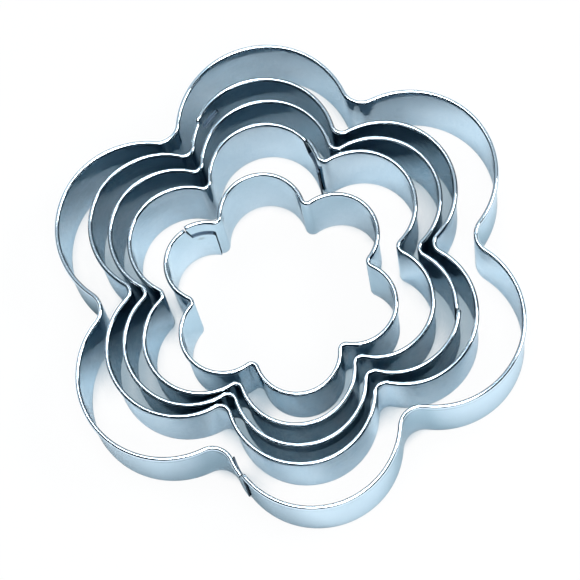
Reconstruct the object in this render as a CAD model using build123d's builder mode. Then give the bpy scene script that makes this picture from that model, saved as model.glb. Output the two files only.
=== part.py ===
# Nested set of five six-petal flower cutters, each one bent from a hemmed stainless strip
from build123d import *
from math import atan2, cos, degrees, radians, sin, sqrt
import os

os.makedirs("parts", exist_ok=True)

# Strip: a thin band on edge, its top folded outwards into a closed hem
sheet = 0.4
strip_height = 19.0
hem_width = 0.9
hem_depth = 1.6

# Lap seam: one end loses its hem and slides inside the other end as a tongue
tongue_length = 5.8
tongue_drop = 5.6
tongue_slant = 1.0
tongue_corner = 0.8
hem_gap = 0.3

# Spot weld that holds the tongue, at a share of its height
weld_radius = 0.8
weld_dent = 0.1
weld_height_share = 0.86

# Flower: round lobes joined by tight bends
largest_width = 100.0
lobe_count = 6
lobe_radius_share = 0.36

# Radial steps from each cutter to the next smaller one
step_to_large = 8.5
step_to_middle = 4.15
step_to_small = 4.6
step_to_smallest = 8.4

# Bends between the lobes, measured on the hem's outer edge
bend_largest = 3.8
bend_large = 1.7
bend_middle = 1.3
bend_small = 1.0
bend_smallest = 0.7

# How far a cut runs past the metal
overrun = 2.0

# Each cutter: its step and bend, its drift inside its neighbour as shares of the step,
# the direction of its first lobe, how far it is pulled out of round and which way,
# and its seam: lobe, angle from that lobe's axis, and the way that the tongue points
cutters = {
    "largest_cutter": dict(
        step=0, bend=bend_largest, drift_shares=(0, 0), lobe_angle=30.0,
        oval_share=0.010, oval_angle=43.0, seam_lobe=4, seam_angle=-61.5, seam_way=-1,
    ),
    "large_cutter": dict(
        step=step_to_large, bend=bend_large, drift_shares=(-0.13, 0.15), lobe_angle=28.4,
        oval_share=0.011, oval_angle=-55.0, seam_lobe=1, seam_angle=58.5, seam_way=-1,
    ),
    "middle_cutter": dict(
        step=step_to_middle, bend=bend_middle, drift_shares=(0.04, -0.13), lobe_angle=28.7,
        oval_share=0.007, oval_angle=-2.0, seam_lobe=5, seam_angle=20.0, seam_way=-1,
    ),
    "small_cutter": dict(
        step=step_to_small, bend=bend_small, drift_shares=(-0.12, -0.03), lobe_angle=30.6,
        oval_share=0.016, oval_angle=52.0, seam_lobe=1, seam_angle=-58.0, seam_way=-1,
    ),
    "smallest_cutter": dict(
        step=step_to_smallest, bend=bend_smallest, drift_shares=(-0.07, -0.29), lobe_angle=33.2,
        oval_share=0.023, oval_angle=-26.0, seam_lobe=2, seam_angle=-40.0, seam_way=-1,
    ),
}


def spoke(angle, length=1):
    return Vector(cos(radians(angle)), sin(radians(angle))) * length


def angle_from(origin, point):
    return degrees(atan2(point.Y - origin.Y, point.X - origin.X))


def turn_between(start_angle, end_angle, way):
    """Size of the arc from one angle to another, turning the given way."""
    return way * (way * (end_angle - start_angle) % 360)


def lobe_centres(centre, distance, cutter):
    """Centres of the lobes, pulled out along one direction and in across it."""
    along = spoke(cutter["oval_angle"])
    across = spoke(cutter["oval_angle"] + 90)
    centres = []
    for number in range(lobe_count):
        arm = spoke(cutter["lobe_angle"] + 360 / lobe_count * number, distance)
        pull = along * along.dot(arm) - across * across.dot(arm)
        centres.append(centre + arm + pull * cutter["oval_share"])
    return centres


def bend_centre(first, first_radius, second, second_radius, bend_radius, flower_centre):
    """Centre of the bend that runs smoothly into two neighbouring lobes."""
    gap = second - first
    first_reach = first_radius + bend_radius
    second_reach = second_radius + bend_radius
    along = (first_reach**2 - second_reach**2 + gap.length**2) / (2 * gap.length)
    foot = first + gap.normalized() * along
    outward = Vector(gap.Y, -gap.X).normalized()
    if outward.dot(foot - flower_centre) < 0:
        outward = -outward
    return foot + outward * sqrt(first_reach**2 - along**2)


def upright(point, outward):
    """Plane square to the strip, with X out of the flower and Y up."""
    return Plane(origin=point, x_dir=outward, z_dir=outward.cross(Vector(0, 0, 1)))


centre = Vector(0, 0)
tip_radius = largest_width / 2 - hem_width

for name, cutter in cutters.items():
    # Radii and centres on the strip's inner face
    drift_x_share, drift_y_share = cutter["drift_shares"]
    centre += Vector(drift_x_share, drift_y_share) * cutter["step"]
    tip_radius -= cutter["step"]
    lobe_radius = lobe_radius_share * (tip_radius + hem_width / 2) - hem_width / 2
    bend_radius = cutter["bend"] + hem_width
    centres = lobe_centres(centre, tip_radius - lobe_radius, cutter)

    # The strip sets out from its outer end and comes round to lie one sheet inside it
    way = cutter["seam_way"]
    lobes = [centres[(cutter["seam_lobe"] + way * k) % lobe_count] for k in range(lobe_count + 1)]
    radii = [lobe_radius] * lobe_count + [lobe_radius - sheet]
    seam_centre = lobes[0]
    seam_angle = angle_from(centre, seam_centre) + cutter["seam_angle"]
    seam_out = spoke(seam_angle)
    start_angle = seam_angle + way * degrees(hem_gap / lobe_radius)
    tongue_turn = way * degrees(tongue_length / lobe_radius)
    tongue_top = strip_height - tongue_drop
    tongue_face = lobe_radius - sheet

    with BuildPart() as strip:
        # Tongue: the plain inner end, its top cut down on a slant
        with BuildLine() as tongue_line:
            CenterArc(seam_centre, tongue_face, seam_angle, tongue_turn)
        with BuildSketch(upright(seam_centre + seam_out * tongue_face, seam_out)):
            Rectangle(sheet, strip_height - hem_width, align=Align.MIN)
        sweep(path=tongue_line.line)
        along_seam = seam_out.rotate(Axis.Z, way * 90)
        with BuildSketch(upright(seam_centre + seam_out * lobe_radius, along_seam)):
            with BuildLine():
                Polyline(
                    (0, strip_height),
                    (tongue_slant, tongue_top),
                    (tongue_length + overrun, tongue_top),
                    (tongue_length + overrun, strip_height),
                    close=True,
                )
            make_face()
        extrude(amount=lobe_radius, both=True, mode=Mode.SUBTRACT)
        tongue_tip = spoke(seam_angle + tongue_turn, tongue_face + sheet / 2) + Vector(0, 0, tongue_top)
        fillet(strip.edges().sort_by_distance(seam_centre + tongue_tip)[0], tongue_corner)

        # Hemmed strip: lobes and bends in turn, all the way round to the seam
        with BuildLine() as run:
            angle = start_angle
            for k in range(lobe_count):
                bend = bend_centre(lobes[k], radii[k], lobes[k + 1], radii[k + 1], bend_radius, centre)
                lobe_turn = turn_between(angle, angle_from(lobes[k], bend), way)
                CenterArc(lobes[k], radii[k], angle, lobe_turn)
                bend_start = angle_from(bend, lobes[k])
                bend_turn = turn_between(bend_start, angle_from(bend, lobes[k + 1]), -way)
                CenterArc(bend, bend_radius, bend_start, bend_turn)
                angle = angle_from(lobes[k + 1], bend)
            CenterArc(seam_centre, tongue_face, angle, turn_between(angle, seam_angle, way))
        start_out = spoke(start_angle)
        with BuildSketch(upright(seam_centre + start_out * lobe_radius, start_out)):
            with BuildLine():
                Polyline(
                    (0, 0),
                    (0, strip_height),
                    (hem_width, strip_height),
                    (hem_width, strip_height - hem_depth),
                    (sheet, strip_height - hem_depth),
                    (sheet, 0),
                    close=True,
                )
            make_face()
        sweep(path=run.line)

        # The spot weld leaves a shallow round dent in the tongue
        dent_ball = (weld_radius**2 + weld_dent**2) / (2 * weld_dent)
        weld_out = spoke(seam_angle + tongue_turn / 2, tongue_face + weld_dent - dent_ball)
        with Locations(seam_centre + weld_out + Vector(0, 0, tongue_top * weld_height_share)):
            Sphere(dent_ball, mode=Mode.SUBTRACT)

    strip.part.label = name
    export_step(strip.part, f"parts/{name}.step")
    print(name, "width", round(2 * (tip_radius + hem_width), 2), "solids", len(strip.part.solids()))
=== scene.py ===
# Nested set of five flower cutters, bent from hemmed bright stainless strip
import cmath
import math

import bmesh
import bpy
from mathutils import Matrix, Vector


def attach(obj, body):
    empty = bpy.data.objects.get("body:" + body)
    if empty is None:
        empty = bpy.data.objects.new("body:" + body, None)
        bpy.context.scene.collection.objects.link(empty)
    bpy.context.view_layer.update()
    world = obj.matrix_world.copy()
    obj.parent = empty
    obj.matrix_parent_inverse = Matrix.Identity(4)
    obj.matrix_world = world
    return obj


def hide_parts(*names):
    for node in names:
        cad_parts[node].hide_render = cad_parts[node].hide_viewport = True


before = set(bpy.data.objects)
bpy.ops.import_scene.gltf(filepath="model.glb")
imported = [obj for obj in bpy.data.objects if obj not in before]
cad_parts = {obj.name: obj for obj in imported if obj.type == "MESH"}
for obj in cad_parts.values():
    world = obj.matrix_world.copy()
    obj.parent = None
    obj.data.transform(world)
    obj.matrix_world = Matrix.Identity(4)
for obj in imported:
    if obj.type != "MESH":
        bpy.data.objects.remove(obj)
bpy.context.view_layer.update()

scene = bpy.context.scene
mm = 0.001
print("frame loaded:", len(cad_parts), "cutters")


def linear(hexColour):
    # sRGB hex such as "#c9d3da" to linear RGBA
    parts = [int(hexColour[k:k + 2], 16) / 255 for k in (1, 3, 5)]
    return [c / 12.92 if c <= 0.04045 else ((c + 0.055) / 1.055) ** 2.4 for c in parts] + [1]


def addNode(tree, kind, settings={}, *values, **named):
    # One node with its settings and inputs. An input is given in order or by its name without
    # spaces; a node or socket is linked to it, and anything else is its value.
    node = tree.nodes.new(kind)
    for name, value in settings.items():
        setattr(node, name, value)
    sockets = [s for s in node.inputs if s.enabled]
    pairs = list(zip(sockets, values))
    pairs += [(next(s for s in sockets if s.name.replace(" ", "") == name), value)
              for name, value in named.items()]
    for socket, value in pairs:
        if isinstance(value, bpy.types.Node):
            value = next(s for s in value.outputs if s.enabled)
        if isinstance(value, bpy.types.NodeSocket):
            tree.links.new(value, socket)
        elif value is not None:
            socket.default_value = value
    return node


# Settings that many nodes share
smooth = {"interpolation_type": "SMOOTHSTEP"}
ofColours = {"data_type": "RGBA"}
add, less, times = ({"operation": word} for word in ("ADD", "SUBTRACT", "MULTIPLY"))

# Strip: thin sheet on edge, its top folded outwards into a closed round hem
strip = {
    "sheet": 0.4 * mm,
    "height": 19 * mm,
    "hemWidth": 0.9 * mm,
    "hemDepth": 1.6 * mm,
    "wallRows": 30,
    "crestSteps": 8,
    "edgeRound": 0.05 * mm,      # the sheared edges are barely broken
    "edgeSteps": 2,
    "edgeAngle": 50,             # an edge is broken from this angle in degrees
    "creaseAngle": 40,           # and shaded sharp from this one
    "sway": 0.035 * mm,          # how far the springy sheet wanders from a true curve
    "swayLength": 14 * mm,
    "swayRise": 2.5,             # the wander is this many times longer up the wall
    "swayGain": 4,               # the noise keeps to the middle half of its range
    "station": 0.8 * mm,         # step from point to point along the outline, or less in the bends
    "stationTurn": 5.0,
    "leastStations": 3,          # on one arc
}

# Lap seam: the inner end loses its hem and lies inside the outer end as a tongue
seam = {
    "length": 5.8 * mm,
    "drop": 5.6 * mm,
    "slant": 1.0 * mm,
    "corner": 0.8 * mm,
    "steps": (4, 12, 8),         # stations on the slant, the level top and the corner
    "hemGap": 0.3 * mm,
    "lapGap": 0.02 * mm,
    "weldRadius": 0.8 * mm,
    "weldDent": 0.1 * mm,
    "weldHeightShare": 0.86,
}

# Flower: round lobes joined by tight bends, measured over the hem
flower = {"lobes": 6, "lobeShare": 0.36, "width": 100 * mm}

# Each cutter: step in from its neighbour, bend on the hem's outer edge, drift in shares of the step,
# direction of the first lobe, pull out of round and its direction, and its seam: lobe, angle from
# that lobe's axis, and the way that the tongue points
cutters = {
    "largest_cutter": dict(step=0, bend=3.8 * mm, drift=(0, 0), turn=30.0, oval=0.010, ovalAngle=43.0,
                           seamLobe=4, seamAngle=-61.5, way=-1, seed=3),
    "large_cutter": dict(step=8.5 * mm, bend=1.7 * mm, drift=(-0.13, 0.15), turn=28.4, oval=0.011,
                         ovalAngle=-55.0, seamLobe=1, seamAngle=58.5, way=-1, seed=8),
    "middle_cutter": dict(step=4.15 * mm, bend=1.3 * mm, drift=(0.04, -0.13), turn=28.7, oval=0.007,
                          ovalAngle=-2.0, seamLobe=5, seamAngle=20.0, way=-1, seed=15),
    "small_cutter": dict(step=4.6 * mm, bend=1.0 * mm, drift=(-0.12, -0.03), turn=30.6, oval=0.016,
                         ovalAngle=52.0, seamLobe=1, seamAngle=-58.0, way=-1, seed=21),
    "smallest_cutter": dict(step=8.4 * mm, bend=0.7 * mm, drift=(-0.07, -0.29), turn=33.2, oval=0.023,
                            ovalAngle=-26.0, seamLobe=2, seamAngle=-40.0, way=-1, seed=34),
}

steel = {
    "light": "#e6eef3",
    "dark": "#dae5ec",
    "glancing": "#e8f3f8",       # steel loses a little light at the glancing angles of its walls
    "roughness": (0.05, 0.13),
    "cloud": 9 * mm,             # size of the faint cloudy patches that wiping leaves
    "cloudRange": (0.3, 0.75),
    "rollLine": 0.2 * mm,        # real roll lines are ten times finer and wouldn't show
    "rollRun": 30 * mm,
    "rollDepth": 0.0015 * mm,
    "wave": (22 * mm, 3.2 * mm),  # long low ripples that draw reflections into streaks
    "waveDepth": 0.04 * mm,
    "weldTint": "#a9a59c",
    "weldReach": (0.6, 1.3),     # the tint fades out between these numbers of weld radii
    "weldShare": 0.45,
    "weldHaze": 0.35,
}

# Sheared edge: its dark base colours are painted shade for the cut edges, varied at random by the tear
shear = {
    "light": "#5b6875",
    "dark": "#2c3540",
    "roughness": (0.4, 0.6),
    "tear": 0.15 * mm,
    "tearRange": (0.3, 0.7),
    "depth": 0.01 * mm,
}


def brightAnnealedStainless():
    # Bright annealed stainless strip, rolled between polished rolls: a near mirror that keeps
    # reflections crisp, with hair-fine lines along the strip and a little haze where it was wiped
    material = bpy.data.materials.new("brightAnnealedStainless")
    material.use_nodes = True
    tree = material.node_tree
    shader = tree.nodes["Principled BSDF"]
    shader.inputs["Metallic"].default_value = 1.0
    shader.inputs["Specular Tint"].default_value = linear(steel["glancing"])
    along = addNode(tree, "ShaderNodeUVMap", {"uv_map": "stripUv"})
    place = addNode(tree, "ShaderNodeTexCoord").outputs["Object"]
    cloud = addNode(tree, "ShaderNodeTexNoise", Vector=place, Scale=1 / steel["cloud"], Detail=3.0)
    haze = addNode(tree, "ShaderNodeMapRange", {}, cloud, *steel["cloudRange"], *steel["roughness"])
    tone = addNode(tree, "ShaderNodeMix", ofColours, cloud, linear(steel["light"]), linear(steel["dark"]))

    # Straw tint and haze where the spot weld heated the sheet
    fromWeld = addNode(tree, "ShaderNodeAttribute", {"attribute_name": "fromWeld"})
    reach = addNode(tree, "ShaderNodeVectorMath", {"operation": "LENGTH"}, fromWeld.outputs["Vector"])
    near, far = (seam["weldRadius"] * radii for radii in steel["weldReach"])
    weld = addNode(tree, "ShaderNodeMapRange", smooth, reach.outputs["Value"], near, far,
                   steel["weldShare"], 0.0)
    tinted = addNode(tree, "ShaderNodeMix", ofColours, weld, tone.outputs["Result"],
                     linear(steel["weldTint"]))
    hazed = addNode(tree, "ShaderNodeMath", {"operation": "MULTIPLY_ADD"}, weld, steel["weldHaze"], haze)

    # Roll lines, and the ripples below them
    stretched = addNode(tree, "ShaderNodeVectorMath", times, along,
                        (1 / steel["rollRun"], 1 / steel["rollLine"], 0))
    lines = addNode(tree, "ShaderNodeTexNoise", Vector=stretched, Scale=1.0, Detail=2.0)
    bump = addNode(tree, "ShaderNodeBump", Strength=1.0, Distance=steel["rollDepth"], Height=lines)
    length, width = steel["wave"]
    drawn = addNode(tree, "ShaderNodeVectorMath", times, along, (1 / length, 1 / width, 0))
    ripples = addNode(tree, "ShaderNodeTexNoise", Vector=drawn, Scale=1.0, Detail=1.0)
    bump = addNode(tree, "ShaderNodeBump", Strength=1.0, Distance=steel["waveDepth"], Height=ripples,
                   Normal=bump)
    tree.links.new(tinted.outputs["Result"], shader.inputs["Base Color"])
    tree.links.new(hazed.outputs[0], shader.inputs["Roughness"])
    tree.links.new(bump.outputs[0], shader.inputs["Normal"])
    return material


def shearedStainlessPaintedShade():
    # Edge left by the shear: torn and matt, with painted shade in its dark base colour, so that the cut
    # edges show as dark lines beside the bright faces
    material = bpy.data.materials.new("shearedStainlessPaintedShade")
    material.use_nodes = True
    tree = material.node_tree
    shader = tree.nodes["Principled BSDF"]
    shader.inputs["Metallic"].default_value = 1.0
    place = addNode(tree, "ShaderNodeTexCoord").outputs["Object"]
    tear = addNode(tree, "ShaderNodeTexNoise", Vector=place, Scale=1 / shear["tear"], Detail=2.0)
    tone = addNode(tree, "ShaderNodeMix", ofColours, tear, linear(shear["dark"]), linear(shear["light"]))
    rough = addNode(tree, "ShaderNodeMapRange", {}, tear, *shear["tearRange"], *shear["roughness"])
    bump = addNode(tree, "ShaderNodeBump", Strength=1.0, Distance=shear["depth"], Height=tear)
    tree.links.new(tone.outputs["Result"], shader.inputs["Base Color"])
    tree.links.new(rough.outputs[0], shader.inputs["Roughness"])
    tree.links.new(bump.outputs[0], shader.inputs["Normal"])
    return material


def hemmedStripTree():
    # Sweeps the outer skin of the sheet, wall and hem in one line, along the flower's outline
    tree = bpy.data.node_groups.new("hemmedStrip", "GeometryNodeTree")
    panel = tree.interface
    panel.new_socket("Geometry", in_out="INPUT", socket_type="NodeSocketGeometry")
    for name, kind in (("Strip height", "Float"), ("Hem width", "Float"), ("Hem depth", "Float"),
                       ("Wall rows", "Int"), ("Crest steps", "Int"), ("Sway", "Float"),
                       ("Sway length", "Float"), ("Seed", "Int"), ("Finish", "Material")):
        panel.new_socket(name, in_out="INPUT", socket_type="NodeSocket" + kind)
    panel.new_socket("Geometry", in_out="OUTPUT", socket_type="NodeSocketGeometry")
    given = tree.nodes.new("NodeGroupInput").outputs
    share = {"operation": "DIVIDE", "use_clamp": True}
    calc = "ShaderNodeMath"

    # Section: rows up the wall, round the crest, then one run down the fold
    index = addNode(tree, "GeometryNodeInputIndex")
    lastRow = addNode(tree, calc, less, given["Wall rows"], 1.0)
    lastCrest = addNode(tree, calc, add, lastRow, given["Crest steps"])
    wallShare = addNode(tree, calc, share, index, lastRow)
    pastWall = addNode(tree, calc, less, index, lastRow)
    crestShare = addNode(tree, calc, share, pastWall, given["Crest steps"])
    foldShare = addNode(tree, calc, share, addNode(tree, calc, less, index, lastCrest), 1.0)
    radius = addNode(tree, calc, times, given["Hem width"], 0.5)
    turn = addNode(tree, calc, times, crestShare, math.pi)
    across = addNode(tree, calc, less, 1.0, addNode(tree, calc, {"operation": "COSINE"}, turn))
    above = addNode(tree, calc, times, addNode(tree, calc, {"operation": "SINE"}, turn), radius)
    rise = addNode(tree, calc, times, addNode(tree, calc, less, given["Strip height"], radius), wallShare)
    fall = addNode(tree, calc, times, addNode(tree, calc, less, given["Hem depth"], radius), foldShare)
    height = addNode(tree, calc, less, addNode(tree, calc, add, rise, above), fall)
    point = addNode(tree, "ShaderNodeCombineXYZ", X=addNode(tree, calc, times, across, radius),
                    Y=addNode(tree, calc, times, height, -1.0))
    line = addNode(tree, "GeometryNodeMeshLine", Count=addNode(tree, calc, add, lastCrest, 2.0))
    line = addNode(tree, "GeometryNodeSetPosition", Geometry=line, Position=point)
    section = addNode(tree, "GeometryNodeMeshToCurve", Mesh=line)
    reach = addNode(tree, "GeometryNodeSplineParameter").outputs["Length"]
    keep = {"data_type": "FLOAT", "domain": "POINT"}
    section = addNode(tree, "GeometryNodeStoreNamedAttribute", keep, Geometry=section, Name="girth",
                      Value=reach)

    # The outline's normals are kept level, so that the section stands upright
    outline = addNode(tree, "GeometryNodeSetCurveNormal", {"mode": "Z_UP"}, Curve=given["Geometry"])
    outline = addNode(tree, "GeometryNodeStoreNamedAttribute", keep, Geometry=outline, Name="run",
                      Value=reach)
    skin = addNode(tree, "GeometryNodeCurveToMesh", Curve=outline, ProfileCurve=section)

    # Springy sheet: a slow wander sideways, changing little up the wall
    place = addNode(tree, "GeometryNodeInputPosition")
    swayHeight = addNode(tree, calc, times, given["Sway length"], strip["swayRise"])
    swaySize = addNode(tree, "ShaderNodeCombineXYZ", {}, given["Sway length"], given["Sway length"],
                       swayHeight)
    spread = addNode(tree, "ShaderNodeVectorMath", {"operation": "DIVIDE"}, place, swaySize)
    spread = addNode(tree, "ShaderNodeVectorMath", add, spread,
                     addNode(tree, "ShaderNodeCombineXYZ", Z=given["Seed"]))
    noise = addNode(tree, "ShaderNodeTexNoise", Vector=spread, Scale=1.0, Detail=1.0)
    wander = addNode(tree, "ShaderNodeVectorMath", less, noise.outputs["Color"], (0.5, 0.5, 0.5))
    wander = addNode(tree, "ShaderNodeVectorMath", times, wander,
                     (strip["swayGain"], strip["swayGain"], 0))
    wander = addNode(tree, "ShaderNodeVectorMath", {"operation": "SCALE"}, Vector=wander,
                     Scale=given["Sway"])
    skin = addNode(tree, "GeometryNodeSetPosition", Geometry=skin, Offset=wander)

    # UV map in metres, along the strip and up it
    run = addNode(tree, "GeometryNodeInputNamedAttribute", {"data_type": "FLOAT"}, Name="run")
    girth = addNode(tree, "GeometryNodeInputNamedAttribute", {"data_type": "FLOAT"}, Name="girth")
    place = addNode(tree, "ShaderNodeCombineXYZ", {}, run, girth)
    skin = addNode(tree, "GeometryNodeStoreNamedAttribute", {"data_type": "FLOAT2", "domain": "CORNER"},
                   Geometry=skin, Name="stripUv", Value=place)
    whole = addNode(tree, "GeometryNodeRealizeInstances", Geometry=skin)
    whole = addNode(tree, "GeometryNodeSetMaterial", Geometry=whole, Material=given["Finish"])
    addNode(tree, "NodeGroupOutput", {}, whole)
    return tree


def spoke(degrees, length=1.0):
    return cmath.rect(length, math.radians(degrees))


def bearing(start, end):
    return math.degrees(cmath.phase(end - start))


def turnBetween(start, end, way):
    # Size of the arc from one angle to another, turning the given way
    return way * (way * (end - start) % 360)


def bendCentre(first, firstReach, second, secondReach, middle):
    # Centre of the bend that runs smoothly into two neighbouring lobes, on their outer side
    gap = second - first
    along = (firstReach ** 2 - secondReach ** 2 + abs(gap) ** 2) / (2 * abs(gap))
    foot = first + gap / abs(gap) * along
    outward = gap / abs(gap) * 1j
    if abs(foot + outward - middle) < abs(foot - outward - middle):
        outward = -outward
    return foot + outward * math.sqrt(firstReach ** 2 - along ** 2)


def lobeSizes(cutter, middle, tipRadius):
    # Radius and centres of the lobes, measured on the strip's inner face
    radius = flower["lobeShare"] * (tipRadius + strip["hemWidth"] / 2) - strip["hemWidth"] / 2
    pull = spoke(cutter["ovalAngle"])
    centres = []
    for number in range(flower["lobes"]):
        arm = spoke(cutter["turn"] + 360 / flower["lobes"] * number, tipRadius - radius)
        centres.append(middle + arm + cutter["oval"] * pull ** 2 * arm.conjugate())
    return radius, centres


def outlineArcs(cutter, middle, lobeRadius, centres):
    # Arcs of lobes and bends as (centre, radius, start, turn), from the strip's outer end round to
    # its hem's inner end
    way, count = cutter["way"], flower["lobes"]
    bendRadius = cutter["bend"] + strip["hemWidth"]
    lobes = [centres[(cutter["seamLobe"] + way * k) % count] for k in range(count + 1)]
    tongueRadius = lobeRadius - strip["sheet"] - seam["lapGap"]
    radii = [lobeRadius] * count + [tongueRadius]
    seamBearing = bearing(middle, lobes[0]) + cutter["seamAngle"]
    angle = seamBearing + way * math.degrees(seam["hemGap"] / lobeRadius)
    arcs = []
    for k in range(count):
        lobe, following = lobes[k], lobes[k + 1]
        bend = bendCentre(lobe, radii[k] + bendRadius, following, radii[k + 1] + bendRadius, middle)
        arcs.append((lobe, radii[k], angle, turnBetween(angle, bearing(lobe, bend), way)))
        start = bearing(bend, lobe)
        arcs.append((bend, bendRadius, start, turnBetween(start, bearing(bend, following), -way)))
        angle = bearing(following, bend)
    arcs.append((lobes[0], tongueRadius, angle, turnBetween(angle, seamBearing, way)))
    return arcs


def stationsAlong(arcs, way):
    # Points along the outline, each with its distance past the hem's end, which is below 0 on the
    # hemmed part
    stations = []
    for centre, radius, start, turn in arcs:
        length = math.radians(abs(turn)) * radius
        steps = max(round(length / strip["station"]), round(abs(turn) / strip["stationTurn"]),
                    strip["leastStations"])
        stations += [(centre + spoke(start + turn * k / steps, radius), -1) for k in range(steps)]
    centre, radius, start, turn = arcs[-1]
    flat = seam["length"] - seam["corner"]
    slantSteps, topSteps, cornerSteps = seam["steps"]
    past = [seam["slant"] * k / slantSteps for k in range(slantSteps)]
    past += [seam["slant"] + (flat - seam["slant"]) * k / topSteps for k in range(topSteps)]
    past += [flat + seam["corner"] * math.sin(math.pi / 2 * k / cornerSteps)
             for k in range(cornerSteps + 1)]
    for distance in past:
        angle = start + turn + way * math.degrees(distance / radius)
        stations.append((centre + spoke(angle, radius), distance))
    return stations


def tongueHeight(distance):
    # Top edge of the tongue: down on a slant from the hem, then level, with a rounded far corner
    top = strip["height"] - seam["drop"]
    if distance < seam["slant"]:
        foot = strip["height"] - strip["hemWidth"] / 2
        return foot + (top - foot) * distance / seam["slant"]
    rounded = max(distance - seam["length"] + seam["corner"], 0)
    return top - seam["corner"] + math.sqrt(max(seam["corner"] ** 2 - rounded ** 2, 0))


def applied(piece):
    # The piece's evaluated geometry as a plain mesh; the piece itself goes
    settled = bpy.context.evaluated_depsgraph_get()
    mesh = bpy.data.meshes.new_from_object(
        piece.evaluated_get(settled), preserve_all_data_layers=True, depsgraph=settled)
    bpy.data.objects.remove(piece)
    return mesh


def sweptSkin(name, stations, seed, tree, finish):
    curve = bpy.data.curves.new(name + "Outline", "CURVE")
    curve.dimensions = "3D"
    line = curve.splines.new("POLY")
    line.points.add(len(stations) - 1)
    for point, (place, past) in zip(line.points, stations):
        point.co = (place.real, place.imag, 0, 1)
    sweep = bpy.data.objects.new(name + "Outline", curve)
    scene.collection.objects.link(sweep)
    values = {"Strip height": strip["height"], "Hem width": strip["hemWidth"],
              "Hem depth": strip["hemDepth"], "Wall rows": strip["wallRows"],
              "Crest steps": strip["crestSteps"], "Sway": strip["sway"],
              "Sway length": strip["swayLength"], "Seed": seed, "Finish": finish}
    modifier = sweep.modifiers.new("hemmedStrip", "NODES")
    modifier.node_group = tree
    for item in tree.interface.items_tree:
        if item.in_out == "INPUT" and item.name in values:
            modifier[item.identifier] = values[item.name]
    return applied(sweep)


def trimTongue(skin, stations):
    # Past the hem's end only the wall goes on, squeezed down to the tongue's height
    rows = strip["wallRows"] + strip["crestSteps"] + 1
    foot = strip["height"] - strip["hemWidth"] / 2
    form = bmesh.new()
    form.from_mesh(skin)
    form.verts.ensure_lookup_table()
    gone = []
    for number, (place, past) in enumerate(stations):
        column = form.verts[number * rows:(number + 1) * rows]
        if past > 0:
            gone += column[strip["wallRows"]:]
            for vertex in column[:strip["wallRows"]]:
                vertex.co.z *= tongueHeight(past) / foot
    bmesh.ops.delete(form, geom=gone, context="VERTS")
    form.to_mesh(skin)
    form.free()


def thickened(name, skin, edgeFinishAndPaintedShade):
    # The skin gets the sheet's thickness on its hidden side, and its sheared edges are broken
    skin.materials.append(edgeFinishAndPaintedShade)
    piece = bpy.data.objects.new(name, skin)
    scene.collection.objects.link(piece)
    wall = piece.modifiers.new("sheet", "SOLIDIFY")
    wall.thickness = strip["sheet"]
    wall.offset = -1
    wall.use_even_offset = True
    # The rims take the sheared edge's material, with its painted shade
    wall.material_offset_rim = 1
    edge = piece.modifiers.new("edges", "BEVEL")
    edge.width = strip["edgeRound"]
    edge.segments = strip["edgeSteps"]
    edge.limit_method = "ANGLE"
    edge.angle_limit = math.radians(strip["edgeAngle"])
    return applied(piece)


def markWeld(mesh, seamCentre, seamBearing, way, lobeRadius):
    # Spot weld: a shallow dent in the tongue's face, and for the steel each point's distance from it
    turn = way * math.degrees(seam["length"] / 2 / lobeRadius)
    faceRadius = lobeRadius - strip["sheet"] - seam["lapGap"]
    spot = seamCentre + spoke(seamBearing + turn, faceRadius)
    height = (strip["height"] - seam["drop"]) * seam["weldHeightShare"]
    centre = Vector((spot.real, spot.imag, height))
    outward = Vector((spot.real - seamCentre.real, spot.imag - seamCentre.imag, 0)).normalized()
    fromWeld = mesh.attributes.new("fromWeld", "FLOAT_VECTOR", "POINT")
    for vertex in mesh.vertices:
        offset = vertex.co - centre
        fromWeld.data[vertex.index].vector = offset
        onFace = abs(offset.dot(outward)) < strip["sheet"] / 2
        if onFace and offset.length < seam["weldRadius"]:
            vertex.co += outward * seam["weldDent"] * (1 - (offset.length / seam["weldRadius"]) ** 2)


def makeCutter(name, cutter, middle, tipRadius, tree, finish, edgeFinishAndPaintedShade):
    lobeRadius, centres = lobeSizes(cutter, middle, tipRadius)
    arcs = outlineArcs(cutter, middle, lobeRadius, centres)
    stations = stationsAlong(arcs, cutter["way"])
    if cutter["way"] < 0:
        stations.reverse()         # the sweep always runs anticlockwise, so that the hem is outside
    skin = sweptSkin(name, stations, cutter["seed"], tree, finish)
    trimTongue(skin, stations)
    mesh = thickened(name, skin, edgeFinishAndPaintedShade)
    seamCentre = centres[cutter["seamLobe"]]
    seamBearing = bearing(middle, seamCentre) + cutter["seamAngle"]
    markWeld(mesh, seamCentre, seamBearing, cutter["way"], lobeRadius)
    mesh.shade_smooth()
    mesh.set_sharp_from_angle(angle=math.radians(strip["creaseAngle"]))
    piece = bpy.data.objects.new("hemmed_" + name, mesh)
    scene.collection.objects.link(piece)
    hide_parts(name)
    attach(piece, name)
    print(name, len(mesh.polygons), "faces")


finish, edgeFinishAndPaintedShade = brightAnnealedStainless(), shearedStainlessPaintedShade()
tree = hemmedStripTree()
middle, tipRadius = 0j, flower["width"] / 2 - strip["hemWidth"]
for name, cutter in cutters.items():
    middle += complex(*cutter["drift"]) * cutter["step"]
    tipRadius -= cutter["step"]
    makeCutter(name, cutter, middle, tipRadius, tree, finish, edgeFinishAndPaintedShade)

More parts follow.
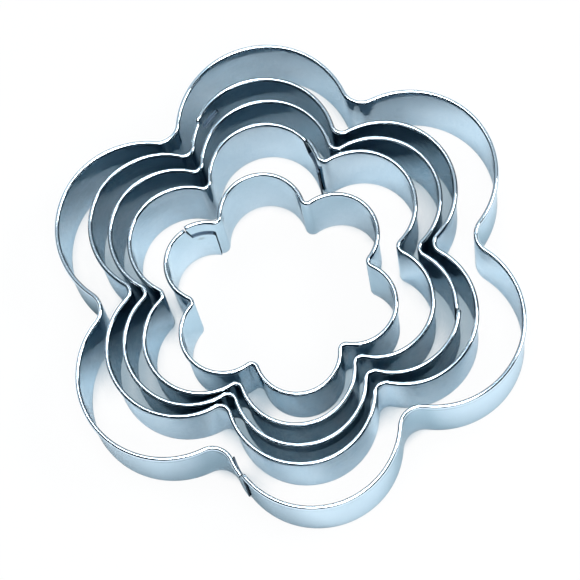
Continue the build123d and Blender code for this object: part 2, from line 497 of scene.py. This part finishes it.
# White sheet under the set
paper = {
    "size": 3.0,
    "roughness": 0.9,
    "gloss": 0.1,
    "shade": 60 * mm,            # how far the walls reach for the painted shade that the steel mirrors
    "shadeSamples": 16,
    # Painted shade and light in its colour there, each colour with the share of sky above: from the
    # narrowest gap, painted dark blue, through pale blue and painted white beside the walls to greys in
    # the open
    "tones": ((0.025, "#0e364f"), (0.075, "#b7daeb"), (0.14, "#fdfeff"), (0.4, "#9bacb4"),
              (0.62, "#dde3e7")),
    "gap": 8 * mm,               # how far the walls reach for the painted gap shade that the camera sees
    "gapSamples": 24,
    "gapRange": (0.28, 0.44),    # the share of sky in a gap and in the open
    # painted grey-blue shade that the camera sees in the narrow gaps
    "gapTone": "#a3b8c4",
    "glow": (0.75, 0.95),        # how much the camera sees of its glow, painted grey-blue shade in a gap and white in the open
}


def whiteSheet():
    # White paper: matt, with shade and light from the walls painted into its colour, so that the steel
    # mirrors soft shades from it, while the camera sees it glowing nearly pure white in the open and with
    # painted grey-blue shade in the gaps
    material = bpy.data.materials.new("whitePaper")
    material.use_nodes = True
    tree = material.node_tree
    shader = tree.nodes["Principled BSDF"]
    shade = addNode(tree, "ShaderNodeAmbientOcclusion", {"samples": paper["shadeSamples"]},
                    Distance=paper["shade"])
    # Painted shade and light: the base colour follows the share of sky that each point sees
    tone = addNode(tree, "ShaderNodeValToRGB", {}, shade.outputs["AO"])
    stops = tone.color_ramp.elements
    for number, (place, colour) in enumerate(paper["tones"]):
        stop = stops[number] if number < len(stops) else stops.new(place)
        stop.position, stop.color = place, linear(colour)
    tree.links.new(tone.outputs["Color"], shader.inputs["Base Color"])
    shader.inputs["Roughness"].default_value = paper["roughness"]
    shader.inputs["Specular IOR Level"].default_value = paper["gloss"]
    seen = addNode(tree, "ShaderNodeLightPath").outputs["Is Camera Ray"]
    # Painted shade for the camera: the glow turns grey-blue where the walls stand close
    gap = addNode(tree, "ShaderNodeAmbientOcclusion", {"samples": paper["gapSamples"]},
                  Distance=paper["gap"]).outputs["AO"]
    glowing = addNode(tree, "ShaderNodeMapRange", smooth, gap, *paper["gapRange"], *paper["glow"])
    opened = addNode(tree, "ShaderNodeMapRange", smooth, gap, *paper["gapRange"])
    glowTone = addNode(tree, "ShaderNodeMix", ofColours, opened, linear(paper["gapTone"]),
                       linear("#ffffff"))
    glow = addNode(tree, "ShaderNodeEmission", {}, glowTone.outputs["Result"], 1.0)
    share = addNode(tree, "ShaderNodeMath", times, seen, glowing)
    mixed = addNode(tree, "ShaderNodeMixShader", {}, share, shader, glow)
    tree.links.new(mixed.outputs[0], tree.nodes["Material Output"].inputs["Surface"])
    half = paper["size"] / 2
    corners = [(-half, -half, 0), (half, -half, 0), (half, half, 0), (-half, half, 0)]
    mesh = bpy.data.meshes.new("floor")
    mesh.from_pydata(corners, [], [(0, 1, 2, 3)])
    mesh.materials.append(material)
    floor = bpy.data.objects.new("floor", mesh)
    scene.collection.objects.link(floor)


def heading(azimuth, elevation):
    flat = spoke(azimuth, math.cos(math.radians(elevation)))
    return Vector((flat.real, flat.imag, math.sin(math.radians(elevation))))


room = {
    "dark": "#0c1626",           # behind the camera
    "bright": "#b9cad6",         # overhead and beyond the set
    "azimuth": 95,               # the middle of the bright side
    "elevation": 50,
    "edge": (0.45, 0.75),        # cosines of the angle from it, where the dark ends and where it peaks
    "ambient": 0.1,              # strength for all but mirroring
}


def roomLight():
    # What the steel mirrors, one mirroring deep. Everything else gets little of it, so that the
    # narrow gaps stay deep, and the camera sees plain white.
    world = bpy.data.worlds.new("room")
    scene.world = world
    world.use_nodes = True
    tree = world.node_tree
    background = tree.nodes["Background"]
    direction = addNode(tree, "ShaderNodeTexCoord").outputs["Generated"]
    towards = heading(room["azimuth"], room["elevation"])
    facing = addNode(tree, "ShaderNodeVectorMath", {"operation": "DOT_PRODUCT"}, direction, towards)
    share = addNode(tree, "ShaderNodeMapRange", smooth, facing.outputs["Value"], *room["edge"], 0.0, 1.0)
    path = addNode(tree, "ShaderNodeLightPath").outputs
    colour = addNode(tree, "ShaderNodeMix", ofColours, share, linear(room["dark"]), linear(room["bright"]))
    colour = addNode(tree, "ShaderNodeMix", ofColours, path["Is Camera Ray"], colour.outputs["Result"],
                     linear("#ffffff"))
    direct = addNode(tree, "ShaderNodeMath", {"operation": "MAXIMUM"}, path["Is Glossy Ray"],
                     path["Is Camera Ray"])
    strength = addNode(tree, "ShaderNodeMapRange", {}, direct, 0.0, 1.0, room["ambient"], 1.0)
    world.cycles.max_bounces = 1
    tree.links.new(colour.outputs["Result"], background.inputs["Color"])
    tree.links.new(strength.outputs[0], background.inputs["Strength"])


# Lamps: a long one overhead and a small one at the right, kept to one mirroring like the room, and
# a blue one that every mirroring takes on into the gaps. Sizes in metres, power in watts.
lamps = {
    "keyLamp": dict(azimuth=-75, elevation=79, size=(0.4, 1.4), power=17.0, colour="#ffffff", bounces=1),
    "sideLamp": dict(azimuth=2, elevation=50, size=(0.4, 0.4), power=6.5, colour="#ffffff", bounces=1),
    "fillLamp": dict(azimuth=-82, elevation=80, size=(0.5, 1.3), power=3.6, colour="#9bc3e0", bounces=12),
}
lampDistance = 1.2


def softLamp(name, lamp):
    light = bpy.data.lights.new(name, "AREA")
    light.shape = "ELLIPSE"
    light.size, light.size_y = lamp["size"]
    light.energy = lamp["power"]
    light.color = linear(lamp["colour"])[:3]
    light.cycles.max_bounces = lamp["bounces"]
    piece = bpy.data.objects.new(name, light)
    scene.collection.objects.link(piece)
    towards = heading(lamp["azimuth"], lamp["elevation"])
    piece.location = towards * lampDistance
    piece.rotation_euler = towards.to_track_quat("Z", "Y").to_euler()


whiteSheet()
roomLight()
for name, lamp in lamps.items():
    softLamp(name, lamp)
print("studio:", len(lamps), "lamps")

# The photograph's viewpoint
view = {
    "azimuth": 4.467, "elevation": 72.146, "roll": -14.668, "distance": 611.8 * mm,
    "focalPixels": 2939.4, "imagePixels": 580, "sensor": 36.0,
    "target": Vector((-0.676, 2.248, 0)) * mm,
}


def addCamera():
    lens = bpy.data.cameras.new("camera")
    lens.sensor_width = view["sensor"]
    lens.lens = view["focalPixels"] / view["imagePixels"] * view["sensor"]
    camera = bpy.data.objects.new("camera", lens)
    scene.collection.objects.link(camera)
    camera.matrix_world = (
        Matrix.Translation(view["target"])
        @ Matrix.Rotation(math.radians(view["azimuth"]), 4, "Z")
        @ Matrix.Rotation(math.radians(90 - view["elevation"]), 4, "X")
        @ Matrix.Rotation(math.radians(view["roll"]), 4, "Z")
        @ Matrix.Translation((0, 0, view["distance"])))
    scene.camera = camera


addCamera()
scene.view_settings.view_transform = "Standard"
